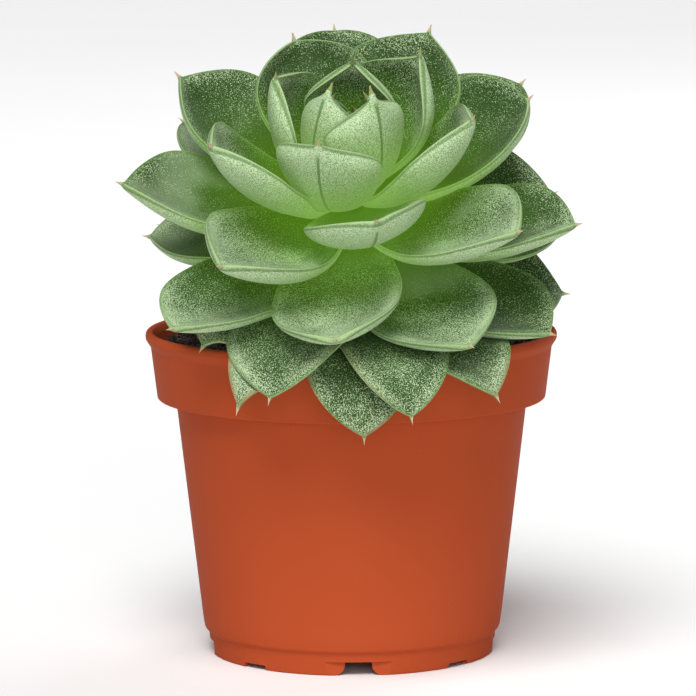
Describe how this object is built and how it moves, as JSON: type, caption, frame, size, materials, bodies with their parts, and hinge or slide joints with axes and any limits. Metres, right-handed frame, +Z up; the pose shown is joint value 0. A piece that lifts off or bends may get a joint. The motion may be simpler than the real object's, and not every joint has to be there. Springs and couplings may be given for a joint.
{
  "type": "potted succulent",
  "caption": "Rosette succulent with pointed fleshy leaves on a short leaning stem, in a round plastic nursery pot with soil and a notched foot.",
  "frame": {"origin": "centre of the flat pad under the pot, on the surface that it stands on", "axes": "+Z straight up from the foot to the rosette, -Y the side that the rosette leans towards, +X to the right as seen from that side"},
  "size_m": [0.0989, 0.1113, 0.1379],
  "materials": {
    "pot": "satin terracotta-coloured plastic",
    "soil": "rough dark potting mix",
    "stem": "matte green, slightly corky",
    "heart": "satin living leaf",
    "leaf": "satin living leaf, finely speckled"
  },
  "bodies": {
    "root": {"pot": "pot", "soil": "soil", "stem": "stem", "heart": "heart", "leaf_00": "leaf", "leaf_01": "leaf", "leaf_02": "leaf", "leaf_03": "leaf", "leaf_04": "leaf", "leaf_05": "leaf", "leaf_06": "leaf", "leaf_07": "leaf", "leaf_08": "leaf", "leaf_09": "leaf", "leaf_10": "leaf", "leaf_11": "leaf", "leaf_12": "leaf", "leaf_13": "leaf", "leaf_14": "leaf", "leaf_15": "leaf", "leaf_16": "leaf", "leaf_17": "leaf", "leaf_18": "leaf", "leaf_19": "leaf", "leaf_20": "leaf", "leaf_21": "leaf", "leaf_22": "leaf", "leaf_23": "leaf", "leaf_24": "leaf", "leaf_25": "leaf", "leaf_26": "leaf", "leaf_27": "leaf", "leaf_28": "leaf", "leaf_30": "leaf", "leaf_31": "leaf", "leaf_32": "leaf", "leaf_33": "leaf", "leaf_34": "leaf", "leaf_35": "leaf", "leaf_36": "leaf", "leaf_38": "leaf", "leaf_39": "leaf", "leaf_40": "leaf", "leaf_47": "leaf"}
  },
  "joints": []
}
